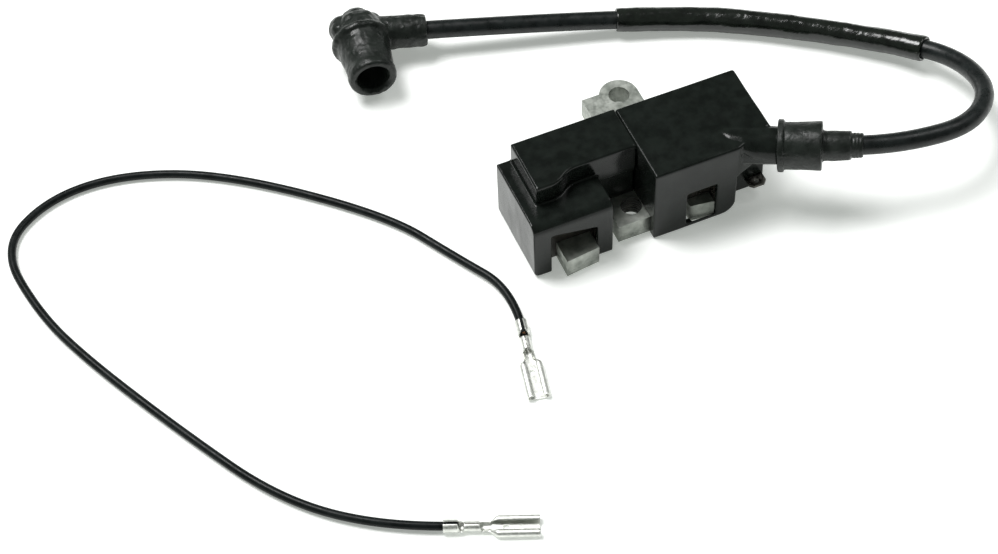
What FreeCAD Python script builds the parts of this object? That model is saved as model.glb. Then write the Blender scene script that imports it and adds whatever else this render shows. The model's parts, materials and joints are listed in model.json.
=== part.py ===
import FreeCAD, Part
import math
import os

# Ignition coil of a small engine: a transformer block and a control block on one laminated core,
# a high-tension lead with its plug boot, and a loose stop lead. Millimetres, +Z up.
# The origin is the axis of the front mounting hole, level with the underside of the core.

Vector = FreeCAD.Vector
doc = FreeCAD.newDocument("ignition_coil")
sheet = doc.addObject("Spreadsheet::Sheet", "Sizes")

SIZES = [
    # the laminated core, in plan; X runs along the blocks, -Y faces the flywheel
    ("core_height", 5.9), ("bolt_hole_radius", 2.75),
    ("left_leg_from", -22.3), ("left_leg_to", -13.0), ("left_leg_tip", -9.4),
    ("middle_leg_half", 5.9), ("middle_leg_tip", -5.2),
    ("right_leg_from", 13.6), ("right_leg_to", 20.0), ("right_leg_tip", -6.9),
    ("yoke_front", 10.2), ("yoke_back", 15.0),
    ("ear_from", 3.2), ("ear_shoulder_back", 37.9), ("ear_hole_x", 13.0), ("ear_hole_y", 35.6),
    ("ear_boss_radius", 5.3), ("winding_relief", 2.4), ("rivet_radius", 1.2),
    # the two moulded housings
    ("wall", 1.6), ("potting_recess", 0.5),
    ("right_from", 2.7), ("right_to", 36.4), ("right_front", -7.9), ("right_back", 16.9),
    ("right_top", 24.5), ("corner_x", 25.9), ("corner_y", -2.6), ("corner_top", 13.5),
    ("left_from", -30.0), ("left_to", -8.3), ("left_front", -6.9), ("left_back", 16.8),
    ("shelf_top", 18.9), ("shelf_round", 2.6), ("raised_from", -26.1), ("raised_to", 2.6),
    ("raised_top", 25.1), ("raised_front", 3.2), ("raised_left_front", 0.3), ("notch_back", 4.2),
    ("left_window_from", -25.1), ("left_window_to", -12.6), ("left_window_top", 14.1),
    ("left_window_low", 11.5),
    ("right_window_from", 12.0), ("right_window_to", 20.3), ("right_window_sill", 1.4),
    ("right_window_top", 13.0),
    # the tower for the high-tension lead: a point of its axis, its heading and its rise
    ("tower_x", 32.7), ("tower_y", -5.2), ("tower_z", 19.5), ("tower_heading", -30.0),
    ("tower_rise", 5.0), ("tower_radius", 4.85), ("tower_face", 4.9),
    # leads
    ("ht_lead_radius", 2.5), ("ht_conductor_radius", 0.6), ("sleeve_radius", 3.45),
    ("sleeve_bore", 2.75), ("stop_lead_radius", 1.1), ("stop_conductor_radius", 0.5),
    # the plug boot
    ("boot_barrel_radius", 4.8), ("boot_barrel_length", 14.2), ("boot_clearance", 0.06),
    ("elbow_offset", 4.0), ("elbow_radius", 7.6), ("dome_shift", 2.0), ("socket_length", 16.7),
    ("socket_mouth_radius", 6.25), ("socket_bore_radius", 4.25), ("socket_bore_depth", 9.0),
    ("spring_pocket_radius", 3.7), ("spring_pocket_depth", 4.2),
    # the ignition transformer, round a ferrite rod along X
    ("rod_from", 7.0), ("rod_to", 31.0), ("rod_y", 7.2), ("rod_z", 14.2), ("rod_radius", 3.0),
    ("primary_radius", 4.0), ("primary_outer", 4.8), ("secondary_bore", 5.1),
    ("secondary_radius", 5.9), ("secondary_outer", 7.4), ("section_flange", 8.0),
    # the circuit board and the charge coil
    ("board_bottom", 11.2), ("board_height", 1.2),
]
for row, (alias, value) in enumerate(SIZES, start=1):
    sheet.set(f"A{row}", alias)
    sheet.set(f"B{row}", str(value))
    sheet.setAlias(f"B{row}", alias)
doc.recompute()


def size(alias):
    """The value of one cell of the sheet, in millimetres or degrees."""
    return float(sheet.get(alias))


def bind(obj, **expressions):
    """Bind properties to expressions in which a bare word is a cell of the sheet."""
    names = sorted((alias for alias, _ in SIZES), key=len, reverse=True)
    for prop, text in expressions.items():
        words = text.replace("(", "( ").replace(")", " )").split()
        words = [w.replace(w.lstrip("-"), "Sizes." + w.lstrip("-")) if w.lstrip("-") in names else w
                 for w in words]
        obj.setExpression(prop.replace("__", "."), " ".join(words))
    return obj


def box(name, x, y, z):
    """A box between two values, or expressions, along each axis."""
    obj = doc.addObject("Part::Box", name)
    for side, place, (low, high) in (("Length", "x", x), ("Width", "y", y), ("Height", "z", z)):
        bind(obj, **{side: f"( {high} ) - ( {low} )", f"Placement__Base__{place}": f"{low}"})
    return obj


def cylinder(name, radius, low, high, centre, along="Z"):
    """A cylinder between two values along one axis; centre gives its other two coordinates."""
    turn = {"Z": FreeCAD.Rotation(), "X": FreeCAD.Rotation(Vector(0, 1, 0), 90),
            "Y": FreeCAD.Rotation(Vector(1, 0, 0), -90)}[along]
    obj = doc.addObject("Part::Cylinder", name)
    obj.Placement = FreeCAD.Placement(Vector(), turn)
    across = [axis for axis in "XYZ" if axis != along]
    bind(obj, Radius=f"{radius}", Height=f"( {high} ) - ( {low} )")
    bind(obj, **{f"Placement__Base__{along.lower()}": f"{low}"})
    bind(obj, **{f"Placement__Base__{axis.lower()}": f"{c}" for axis, c in zip(across, centre)})
    return obj


def fuse(name, *shapes):
    obj = doc.addObject("Part::MultiFuse", name)
    obj.Shapes = list(shapes)
    return obj


def group(name, *shapes):
    """Separate solids that share one node."""
    obj = doc.addObject("Part::Compound", name)
    obj.Links = list(shapes)
    return obj


def cut(name, base, *tools):
    obj = doc.addObject("Part::Cut", name)
    obj.Base = base
    obj.Tool = tools[0] if len(tools) == 1 else fuse(name + "_tools", *tools)
    return obj


def fillet(name, base, radius, picks):
    """Round the edges of base whose middle point and direction one of picks accepts."""
    doc.recompute()
    obj = doc.addObject("Part::Fillet", name)
    obj.Base = base
    edges = []
    for number, edge in enumerate(base.Shape.Edges, start=1):
        middle = edge.valueAt((edge.FirstParameter + edge.LastParameter) / 2)
        along = edge.tangentAt((edge.FirstParameter + edge.LastParameter) / 2)
        if any(pick(middle, along) for pick in picks):
            edges.append((number, radius, radius))
    obj.Edges = edges
    return obj


def feature(name, shape, place=None):
    obj = doc.addObject("Part::Feature", name)
    obj.Shape = shape
    if place:
        obj.Placement = place
    return obj


# ---------------------------------------------------------------- routes of the leads

def tower_point(distance):
    """A point of the tower's axis, that far outward from its reference point."""
    return Vector(size("tower_x"), size("tower_y"), size("tower_z")) + tower_axis() * distance


def tower_axis():
    heading, rise = math.radians(size("tower_heading")), math.radians(size("tower_rise"))
    return Vector(math.cos(heading) * math.cos(rise), math.sin(heading) * math.cos(rise), math.sin(rise))


LEAD_START, LEAD_TURN = 6.0, 22.0
HT_ROUTE = [
    tower_point(LEAD_START), tower_point(LEAD_TURN),
    Vector(67.8, -20.3, 20.0), Vector(86.0, -20.3, 18.0), Vector(98.4, -8.9, 14.0),
    Vector(99.2, 8.8, 8.5), Vector(88.5, 23.7, 4.6), Vector(58.5, 46.4, 3.6),
    Vector(36.0, 58.2, 3.6), Vector(-11.0, 72.9, 6.8), Vector(-38.7, 81.3, 7.9),
]
SLEEVE_FROM, SLEEVE_TO = 5, 8
STOP_ROUTE = [
    Vector(-39.9, -22.6, 1.5), Vector(-37.0, -9.2, 1.5), Vector(-46.0, 6.5, 1.1),
    Vector(-57.0, 26.5, 1.1), Vector(-90.0, 56.5, 1.1), Vector(-115.0, 68.0, 1.1),
    Vector(-136.0, 68.0, 1.1), Vector(-151.5, 57.0, 1.1), Vector(-148.5, 33.0, 1.1),
    Vector(-141.5, 14.0, 1.1), Vector(-127.2, -15.4, 1.1), Vector(-112.0, -43.5, 1.1),
    Vector(-92.0, -61.0, 1.5), Vector(-76.2, -67.6, 1.5),
]


def rounded(points, first=None, last=None):
    """Straight runs joined by tangent arcs; first and last replace the wire's two ends."""
    edges, at = [], first or points[0]
    for before, corner, after in zip(points, points[1:], points[2:]):
        back, on = (before - corner), (after - corner)
        shorter = min(back.Length, on.Length)
        turn = math.pi - back.getAngle(on)
        leg = 0.45 * shorter
        radius = leg / math.tan(turn / 2)
        print(f"  run {back.Length:6.1f}  turn {math.degrees(turn):5.1f}  radius {radius:6.1f}")
        back, on = back.normalize(), on.normalize()
        start, end = corner + back * leg, corner + on * leg
        inward = (back + on).normalize()
        middle = corner + inward * (radius / math.cos(turn / 2) - radius)
        edges += [Part.LineSegment(at, start).toShape(), Part.Arc(start, middle, end).toShape()]
        at = end
    edges.append(Part.LineSegment(at, last or points[-1]).toShape())
    return Part.Wire(edges)


def tube(wire, radius):
    """A solid round rod along a wire."""
    start = wire.Edges[0]
    along = start.tangentAt(start.FirstParameter)
    ring = Part.Wire(Part.makeCircle(radius, start.valueAt(start.FirstParameter), along))
    solid = wire.makePipeShell([ring], True, False)
    expected = math.pi * radius**2 * wire.Length
    print(f"  length {wire.Length:.1f}, volume {solid.Volume:.1f}, expected {expected:.1f}")
    return solid


# ---------------------------------------------------------------- the laminated core

def polygon_with_arcs(points, arcs):
    """A closed wire through points; arcs gives a middle point for the side that starts there."""
    edges = []
    for index, start in enumerate(points):
        end = points[(index + 1) % len(points)]
        if index in arcs:
            edges.append(Part.Arc(start, arcs[index], end))
        else:
            edges.append(Part.LineSegment(start, end))
    return edges


def plane_of(body, role):
    return next(f for f in body.Origin.OriginFeatures if f.Role == role)


def sketch_on(body, name, geometry, height=0.0):
    sketch = body.newObject("Sketcher::SketchObject", name)
    sketch.AttachmentSupport = (plane_of(body, "XY_Plane"), [""])
    sketch.MapMode = "FlatFace"
    sketch.AttachmentOffset = FreeCAD.Placement(Vector(0, 0, height), FreeCAD.Rotation())
    for piece in geometry:
        sketch.addGeometry(piece, False)
    return sketch


def core_outline():
    """The stamped sheet: three legs, a yoke and the rear mounting ear."""
    left, left_end, half = size("left_leg_from"), size("left_leg_to"), size("middle_leg_half")
    right, right_end = size("right_leg_from"), size("right_leg_to")
    front, back, shoulder = size("yoke_front"), size("yoke_back"), size("ear_shoulder_back")
    hole_x, hole_y, boss = size("ear_hole_x"), size("ear_hole_y"), size("ear_boss_radius")
    tip_left, tip_mid, tip_right = size("left_leg_tip"), size("middle_leg_tip"), size("right_leg_tip")
    lean, bow = 0.5, 0.15
    boss_low = hole_x - math.sqrt(boss**2 - (shoulder - hole_y) ** 2)
    outline = [(left, tip_left - lean), (left_end, tip_left + lean), (left_end, front), (-half, front),
               (-half, tip_mid), (half, tip_mid), (half, front), (right, front), (right, tip_right + lean),
               (right_end, tip_right - lean), (right_end, back), (hole_x + boss, back),
               (hole_x + boss, hole_y), (boss_low, shoulder), (size("ear_from"), shoulder),
               (size("ear_from"), back), (left, back)]
    points = [Vector(x, y, 0) for x, y in outline]
    arcs = {0: Vector((left + left_end) / 2, tip_left + bow, 0),
            8: Vector((right + right_end) / 2, tip_right + bow, 0),
            12: Vector(hole_x, hole_y + boss, 0)}
    return polygon_with_arcs(points, arcs)


RIVETS = [(-19.5, 12.6), (-9.0, 12.6), (8.5, 12.6)]
RIVET_HEAD = 0.7
RELIEF_SPAN = (-1.6, 7.6)


def build_core():
    body = doc.addObject("PartDesign::Body", "Core")
    outline = sketch_on(body, "CoreOutline", core_outline())
    pad = body.newObject("PartDesign::Pad", "CorePad")
    pad.Profile = outline
    bind(pad, Length="core_height")
    doc.recompute()
    bolts = [(0, 0), (size("ear_hole_x"), size("ear_hole_y"))]
    circles = [Part.Circle(Vector(x, y, 0), Vector(0, 0, 1), size("bolt_hole_radius")) for x, y in bolts]
    circles += [Part.Circle(Vector(x, y, 0), Vector(0, 0, 1), size("rivet_radius")) for x, y in RIVETS]
    holes = body.newObject("PartDesign::Pocket", "CoreHoles")
    holes.Profile = sketch_on(body, "HoleCentres", circles)
    holes.Type = "ThroughAll"
    holes.Midplane = True
    doc.recompute()
    left, right = size("left_leg_from") - 1, size("left_leg_to") + 1
    front, back = RELIEF_SPAN
    corners = [Vector(left, front, 0), Vector(right, front, 0), Vector(right, back, 0), Vector(left, back, 0)]
    relief = body.newObject("PartDesign::Pocket", "WindingRelief")
    relief.Profile = sketch_on(body, "ReliefOutline", polygon_with_arcs(corners, {}))
    relief.Reversed = True
    bind(relief, Length="winding_relief")
    doc.recompute()
    body.Tip = relief
    return body


def build_rivets():
    stems = []
    for number, (x, y) in enumerate(RIVETS):
        stem = cylinder(f"RivetStem{number}", "rivet_radius", 0, "core_height", (x, y))
        head = cylinder(f"RivetHead{number}", f"rivet_radius + {RIVET_HEAD}", "core_height",
                        f"core_height + {RIVET_HEAD}", (x, y))
        stems.append(fuse(f"Rivet{number}", stem, head))
    return group("Rivets", *stems)


# ---------------------------------------------------------------- windings and electronics

def ring(name, outer, inner, low, high, centre, along="X"):
    """A hollow cylinder between two values along one axis."""
    return cut(name, cylinder(name + "_outer", outer, low, high, centre, along),
               cylinder(name + "_bore", inner, f"{low} - 1", f"{high} + 1", centre, along))


def build_transformer():
    """Ferrite rod, primary on its bobbin, and the secondary in four sections outside it."""
    axis = ("rod_y", "rod_z")
    rod = cylinder("FerriteRod", "rod_radius", "rod_from", "rod_to", axis, "X")
    low, high = "rod_from + 1", "rod_to - 1"
    inner_low, inner_high = "rod_from + 1.8", "rod_to - 1.8"
    cheek_radius = "primary_outer + 0.2"
    primary_bobbin = fuse(
        "PrimaryBobbin", ring("PrimaryTube", "primary_radius", "rod_radius", low, high, axis),
        ring("PrimaryCheekLeft", cheek_radius, "rod_radius", low, inner_low, axis),
        ring("PrimaryCheekRight", cheek_radius, "rod_radius", inner_high, high, axis))
    primary = ring("PrimaryWinding", "primary_outer", "primary_radius", inner_low, inner_high, axis)
    sections, cheek, first = 4, 0.8, size("rod_from") + 1.4
    pitch = (size("rod_to") - 1.4 - cheek - first) / sections
    cheeks = [ring(f"SecondaryCheek{n}", "section_flange", "secondary_bore", first + n * pitch,
                   first + n * pitch + cheek, axis) for n in range(sections + 1)]
    tube_low, tube_high = first, first + sections * pitch + cheek
    secondary_bobbin = fuse("SecondaryBobbin", ring("SecondaryTube", "secondary_radius", "secondary_bore",
                                                    tube_low, tube_high, axis), *cheeks)
    secondary = group("SecondaryWinding", *[
        ring(f"SecondarySection{n}", "secondary_outer", "secondary_radius", first + n * pitch + cheek,
             first + (n + 1) * pitch, axis) for n in range(sections)])
    return rod, primary_bobbin, primary, secondary_bobbin, secondary


def frame_box(name, x, y, z, inner_x, inner_z):
    """A box with a rectangular hole through it along Y."""
    return cut(name, box(name + "_outer", x, y, z),
               box(name + "_hole", inner_x, (f"{y[0]} - 1", f"{y[1]} + 1"), inner_z))


def build_charge_coil():
    """The charging winding round the relieved stretch of the left leg."""
    leg_x, leg_z = ("left_leg_from", "left_leg_to"), ("winding_relief", "core_height")
    tube_x = ("left_leg_from - 0.6", "left_leg_to + 0.6")
    tube_z = ("winding_relief - 0.6", "core_height + 0.6")
    cheek_x, cheek_z = ("left_leg_from - 2.4", "left_leg_to + 2.4"), (0.55, 9.0)
    bobbin = fuse("ChargeBobbin", frame_box("ChargeTube", tube_x, (-1.5, 7.5), tube_z, leg_x, leg_z),
                  frame_box("ChargeCheekFront", cheek_x, (-1.5, -0.7), cheek_z, leg_x, leg_z),
                  frame_box("ChargeCheekBack", cheek_x, (6.7, 7.5), cheek_z, leg_x, leg_z))
    winding = frame_box("ChargeWinding", ("left_leg_from - 2.0", "left_leg_to + 2.0"), (-0.7, 6.7),
                        (0.7, 8.6), tube_x, tube_z)
    return bobbin, winding


LINK_CENTRE = (10.6, "board_bottom + board_height + 0.4")


def build_electronics():
    """The board and, standing on it, the parts of the ignition's circuit."""
    top = "board_bottom + board_height"
    board = box("CircuitBoard", (-24.2, 0.6), (6.2, 15.0), ("board_bottom", top))
    block = box("CapacitorBlock", (-23.6, -10.4), (6.8, 14.4), (top, f"{top} + 9.6"))
    capacitor = fillet("Capacitor", block, 0.6, [lambda middle, along: abs(along.z) > 0.99])
    x, y = -6.4, 11
    case = cylinder("ThyristorRound", 2.3, f"{top} + 1.2", f"{top} + 5.8", (x, y))
    flat = box("ThyristorFlat", (x - 2.6, x + 2.4), (y + 1.2, y + 3), (top, f"{top} + 7"))
    legs = [cylinder(f"ThyristorLeg{n}", 0.25, top, f"{top} + 1.2", (x + 1.2 * (n - 1), y)) for n in range(3)]
    thyristor = fuse("Thyristor", cut("ThyristorBody", case, flat), *legs)
    diodes = group("Diodes", *[
        cylinder(f"Diode{n}", 1.2, f"{top} + 0.1", f"{top} + 5.1", (-2.4, 8.0 + 4.2 * n)) for n in range(2)])
    resistors = group("Resistors", *[
        cylinder(f"Resistor{n}", 0.9, -8.6, -4.2, (7.6, f"{top} + {1.0 + 2.2 * n}"), "X") for n in range(2)])
    return board, capacitor, thyristor, diodes, resistors


def rod_between(start, end, radius):
    return Part.makeCylinder(radius, (end - start).Length, start, end - start)


def bent_wire(points, radius):
    """A stiff wire through points, with ball corners."""
    shape = rod_between(points[0], points[1], radius)
    for start, end in zip(points[1:], points[2:]):
        shape = shape.fuse([Part.makeSphere(radius, start), rod_between(start, end, radius)])
    return shape.removeSplitter()


# ---------------------------------------------------------------- housings

def right_inside(name, low):
    """The hollow of the right block, which goes round the cut-back corner."""
    z = (low, "right_top - wall")
    back = box(name + "_back", ("right_from + wall", "right_to - wall"),
               ("corner_y + wall", "right_back - wall"), z)
    front = box(name + "_front", ("right_from + wall", "corner_x - wall"),
                ("right_front + wall", "corner_y + wall + 1"), z)
    return fuse(name, back, front)


def left_inside(name, low):
    """The hollow of the left block: the low part and the raised part."""
    shelf = box(name + "_shelf", ("left_from + wall", "left_to - wall"),
                ("left_front + wall", "left_back - wall"), (low, "shelf_top - wall - 1"))
    raised = box(name + "_raised", ("raised_from + wall", "raised_to - wall"),
                 ("notch_back + wall", "left_back - wall"), (low, "raised_top - wall"))
    return fuse(name, shelf, raised)


def build_transformer_housing():
    """Block with an open underside, a cut-back front corner and the tower for the lead."""
    block = box("RightBlock", ("right_from", "right_to"), ("right_front", "right_back"), (0, "right_top"))
    recess = box("CornerRecess", ("corner_x", "right_to + 1"), ("right_front - 1", "corner_y"),
                 (-1, "corner_top"))
    wedge = feature("CornerWedge", Part.makeBox(14, 8, size("right_top") + 2))
    wedge.Placement = FreeCAD.Placement(Vector(size("corner_x"), size("right_front"), -1),
                                        FreeCAD.Rotation(Vector(0, 0, 1), 20.5)) * FreeCAD.Placement(
        Vector(0, -8, 0), FreeCAD.Rotation())
    shaped = cut("RightShaped", block, recess, wedge)
    lower = fillet("RightLowerRound", shaped, 4.0, [
        lambda middle, along: abs(along.y) > 0.99 and abs(middle.x - size("corner_x")) + middle.z < 0.1])
    edges = fillet("RightSoft", lower, 0.7, [
        lambda middle, along: middle.z > size("right_top") - 0.05,
        lambda middle, along: abs(along.z) > 0.99 and middle.y > size("right_back") - 0.1])
    tower = feature("TowerTube", Part.makeCylinder(
        size("tower_radius"), size("tower_face") + 10.5, tower_point(-10.5), tower_axis()))
    outer = fuse("RightOuter", edges, tower)
    cavity = right_inside("RightCavity", -1)
    through_front = ("right_front - 1", "right_front + wall + 1")
    through_back = ("right_back - wall - 1", "right_back + 1")
    through_left = ("right_from - 1", "right_from + wall + 1")
    below_core_top = (-1, "core_height")
    window = box("RightWindow", ("right_window_from", "right_window_to"), through_front,
                 ("right_window_sill", "right_window_top"))
    ear_slot = box("EarSlot", ("ear_from", "ear_hole_x + ear_boss_radius"), through_back, below_core_top)
    side_slot = box("RightSideSlot", through_left, ("middle_leg_tip", "yoke_back"), below_core_top)
    foot_slot = box("RightLegSlot", ("right_leg_from", "right_leg_to"),
                    ("right_front + 0.4", "right_front + wall + 1"), below_core_top)
    bore = feature("LeadBore", Part.makeCylinder(
        size("ht_lead_radius"), size("tower_face") + 7, tower_point(-6), tower_axis()))
    pin_hole = feature("SpikeHole", Part.makeCylinder(0.9, 8, tower_point(-12), tower_axis()))
    blade_slot = box("BladeSlot", (31.3, 36.1), ("corner_y - 1", "corner_y + wall"), (3.2, 4.0))
    link_hole = cylinder("RightLinkHole", 0.35, "right_from - 1", "right_from + wall + 1", LINK_CENTRE, "X")
    return cut("TransformerHousing", outer, cavity, window, ear_slot, side_slot, foot_slot, bore, pin_hole,
               blade_slot, link_hole)


def raised_outline():
    """The raised part in plan: its front edge steps back in a soft S."""
    left, right, back = size("raised_from"), size("raised_to"), size("left_back")
    low, high = size("raised_left_front"), size("raised_front")
    bend_from, bend_to = -22.0, -14.0
    mid = Vector((bend_from + bend_to) / 2, (low + high) / 2, 0)
    points = [Vector(left, low, 0), Vector(bend_from, low, 0), mid, Vector(bend_to, high, 0),
              Vector(right, high, 0), Vector(right, back, 0), Vector(left, back, 0)]
    quarter = (bend_to - bend_from) / 4
    sag = (high - low) / 8
    arcs = {1: Vector(bend_from + quarter, low + sag, 0), 2: Vector(bend_to - quarter, high - sag, 0)}
    return polygon_with_arcs(points, arcs)


def left_opening(front, deep):
    """The opening over the left leg, whose top edge falls to the right."""
    left, right = size("left_window_from"), size("left_window_to")
    corners = [(left, -1), (right, -1), (right, size("left_window_low")), (left, size("left_window_top"))]
    face = Part.Face(Part.makePolygon([Vector(x, front, z) for x, z in corners + corners[:1]]))
    return face.extrude(Vector(0, deep, 0))


FOOT_ROUND = 1.5


def build_control_housing():
    """Low block with a rounded shelf, and the raised block that runs to the other housing."""
    low = box("LeftLow", ("left_from", "left_to"), ("left_front", "left_back"), (0, "shelf_top"))
    rounded_foot = fillet("LeftFootRound", low, FOOT_ROUND, [
        lambda middle, along: abs(along.y) > 0.99 and middle.x - size("left_from") + middle.z < 0.1])
    rounded_low = fillet("LeftShelfRound", rounded_foot, size("shelf_round"), [
        lambda middle, along: abs(along.x) > 0.99 and middle.y < size("left_front") + 0.1 and middle.z > 1])
    body = doc.addObject("PartDesign::Body", "Raised")
    pad = body.newObject("PartDesign::Pad", "RaisedPad")
    pad.Profile = sketch_on(body, "RaisedOutline", raised_outline(), size("shelf_top") - 3)
    bind(pad, Length="raised_top - shelf_top + 3")
    doc.recompute()
    soft_top = fillet("RaisedSoft", body, 0.6, [lambda middle, along: middle.z > size("raised_top") - 0.05])
    behind = box("NotchBack", ("left_to - 2", "raised_to"), ("notch_back", "left_back"), (0, "shelf_top"))
    outer = fuse("LeftOuter", rounded_low, soft_top, behind)
    cavity = left_inside("LeftCavity", -1)
    window = feature("LeftWindow", left_opening(size("left_front") - 1, size("wall") + 2))
    yoke_slot = box("YokeSlot", ("raised_to - wall - 1", "raised_to + 1"), ("notch_back + 1", "yoke_back"),
                    (-1, "core_height"))
    leg_slot = box("MiddleLegSlot", ("-middle_leg_half", "raised_to + 1"), ("notch_back - 1", "yoke_back"),
                   (-1, "core_height"))
    link_hole = cylinder("LeftLinkHole", 0.35, "raised_to - wall - 1", "raised_to + 1", LINK_CENTRE, "X")
    return cut("ControlHousing", outer, cavity, window, yoke_slot, leg_slot, link_hole)


def build_potting(core, rivets, right_parts, left_parts):
    """Epoxy that fills each housing round what is inside, a little short of the open underside."""
    right = right_inside("RightFill", "potting_recess")
    left = left_inside("LeftFill", "potting_recess")
    right_gap = box("RightGap", ("right_window_from", "right_window_to"),
                    ("right_front", "right_front + wall + 2.4"), (-1, "right_window_top"))
    left_gap = feature("LeftGap", left_opening(size("left_front"), size("wall") + 2.2))
    return (cut("TransformerPotting", right, core, rivets, right_gap, *right_parts),
            cut("ControlPotting", left, core, rivets, left_gap, *left_parts))


# ---------------------------------------------------------------- tower pieces and leads

def turned(profile, start, axis):
    """Revolve (distance, radius) steps about an axis that begins at start."""
    points = [Vector(r, 0, d) for d, r in profile]
    face = Part.Face(Part.makePolygon(points + [points[0]]))
    solid = face.revolve(Vector(), Vector(0, 0, 1), 360)
    solid.Placement = FreeCAD.Placement(start, FreeCAD.Rotation(Vector(0, 0, 1), axis))
    return solid


GROMMET = [(4.9, 0), (4.9, 6.3), (5.3, 6.75), (6.5, 6.75), (6.9, 6.3), (7.1, 6.0), (7.8, 6.15), (11, 6.3),
           (15.2, 6.2), (15.8, 5.9), (15.8, 4.1), (16.2, 3.8), (23.3, 3.75), (23.3, 3.15), (26.3, 3.0),
           (26.3, 0)]


def build_grommet(lead, lead_end):
    solid = turned(GROMMET, tower_point(0), tower_axis())
    return feature("LeadGrommet", solid.cut([lead, lead_end]).removeSplitter())


def hollow(wire, outer, inner):
    return tube(wire, outer).cut(tube(wire, inner))


def build_leads():
    print("high-tension lead")
    wire = rounded(HT_ROUTE)
    lead = hollow(wire, size("ht_lead_radius"), size("ht_conductor_radius"))
    conductor = tube(wire, size("ht_conductor_radius"))
    print("sleeve")
    part = HT_ROUTE[SLEEVE_FROM - 1:SLEEVE_TO + 2]
    whole = rounded(part)
    begin = (HT_ROUTE[SLEEVE_FROM] + HT_ROUTE[SLEEVE_FROM + 1]) * 0.5
    end = HT_ROUTE[SLEEVE_TO] + (HT_ROUTE[SLEEVE_TO + 1] - HT_ROUTE[SLEEVE_TO]) * 0.25
    edges = whole.Edges[2:-1]
    edges[0] = Part.LineSegment(begin, edges[0].Vertexes[1].Point).toShape()
    edges.append(Part.LineSegment(edges[-1].Vertexes[1].Point, end).toShape())
    sleeve = hollow(Part.Wire(edges), size("sleeve_radius"), size("sleeve_bore"))
    print("stop lead")
    wire = rounded(STOP_ROUTE)
    stop = hollow(wire, size("stop_lead_radius"), size("stop_conductor_radius"))
    stop_conductor = tube(wire, size("stop_conductor_radius"))
    return lead, conductor, sleeve, stop, stop_conductor


def build_lead_end():
    """The lead's inner end in the tower, down to the spike."""
    start, length = tower_point(-6), LEAD_START + 6
    outer = Part.makeCylinder(size("ht_lead_radius"), length, start, tower_axis())
    inner = Part.makeCylinder(size("ht_conductor_radius"), length, start, tower_axis())
    core = Part.makeCylinder(size("ht_conductor_radius"), length - 6, tower_point(0), tower_axis())
    return outer.cut(inner), core


# ---------------------------------------------------------------- plug boot

BOOT_END = HT_ROUTE[-1]
KNOB_RADIUS, KNOB_BACK, PIN_RADIUS = 4.6, 3.2, 0.8
BOOT_AXIS = (HT_ROUTE[-1] - HT_ROUTE[-2]).normalize()
SOCKET_AXIS = Vector(-0.14, -0.99, 0).normalize()


def elbow_point():
    return BOOT_END + BOOT_AXIS * size("elbow_offset")


def build_boot():
    """Moulded elbow: barrel round the lead, domed corner with a knob, and the plug socket."""
    elbow, reach, round_radius = elbow_point(), size("socket_length"), size("elbow_radius")
    barrel_start = BOOT_END - BOOT_AXIS * size("boot_barrel_length")
    barrel = Part.makeCylinder(size("boot_barrel_radius"),
                               size("boot_barrel_length") + size("elbow_offset"), barrel_start, BOOT_AXIS)
    middle = size("dome_shift")
    diagonal = round_radius * math.sqrt(0.5)
    back, rim = Vector(0, 0, middle - round_radius), Vector(round_radius, 0, middle)
    lip, end = Vector(size("socket_mouth_radius"), 0, reach), Vector(0, 0, reach)
    outline = [Part.Arc(back, Vector(diagonal, 0, middle - diagonal), rim), Part.LineSegment(rim, lip),
               Part.LineSegment(lip, end), Part.LineSegment(end, back)]
    section = Part.Face(Part.Wire([piece.toShape() for piece in outline]))
    socket = section.revolve(Vector(), Vector(0, 0, 1), 360)
    socket.Placement = FreeCAD.Placement(elbow, FreeCAD.Rotation(Vector(0, 0, 1), SOCKET_AXIS))
    knob = Part.makeSphere(KNOB_RADIUS, elbow - SOCKET_AXIS * KNOB_BACK + Vector(0, 0, 1.0))
    solid = barrel.fuse([socket, knob])
    lead_bore = Part.makeCylinder(size("ht_lead_radius") + size("boot_clearance"),
                                  size("boot_barrel_length") + 1.2, barrel_start - BOOT_AXIS, BOOT_AXIS)
    mouth = elbow + SOCKET_AXIS * reach
    bore = Part.makeCylinder(size("socket_bore_radius"), size("socket_bore_depth"), mouth, -SOCKET_AXIS)
    pocket = Part.makeCylinder(size("spring_pocket_radius"),
                               size("socket_bore_depth") + size("spring_pocket_depth"), mouth, -SOCKET_AXIS)
    pin = bent_wire(contact_points(), PIN_RADIUS)
    return feature("PlugBoot", solid.cut([lead_bore, bore, pocket, pin]))


def contact_points():
    """The contact pin runs from the lead's end to the elbow and turns into the socket."""
    return [BOOT_END + BOOT_AXIS * 0.1, elbow_point(), elbow_point() + SOCKET_AXIS * 5.2]


def build_contact():
    return feature("ContactPin", bent_wire(contact_points(), PIN_RADIUS))


def build_spring():
    """The spring that grips the plug's terminal, on the floor of the socket bore."""
    turns, pitch, radius, wire_radius = 2.5, 1.0, 3.2, 0.4
    helix = Part.makeHelix(pitch, pitch * turns, radius)
    start = Vector(radius, 0, 0)
    ring = Part.Wire(Part.makeCircle(wire_radius, start, Vector(0, 1, pitch / (2 * math.pi * radius))))
    coil = Part.Wire(helix).makePipeShell([ring], True, True)
    floor = size("socket_length") - size("socket_bore_depth") - size("spring_pocket_depth")
    cap = Part.makeCylinder(radius + wire_radius, 0.5, Vector(0, 0, 0))
    coil.translate(Vector(0, 0, 0.5 + wire_radius * 0.8))
    hub = cap.cut(Part.makeCylinder(PIN_RADIUS, 2, Vector(0, 0, -0.5)))
    spring = feature("PlugSpring", coil.fuse(hub))
    spring.Placement = FreeCAD.Placement(elbow_point() + SOCKET_AXIS * (floor + 0.05),
                                         FreeCAD.Rotation(Vector(0, 0, 1), SOCKET_AXIS))
    return spring


# ---------------------------------------------------------------- stop terminal and receptacles

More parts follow.
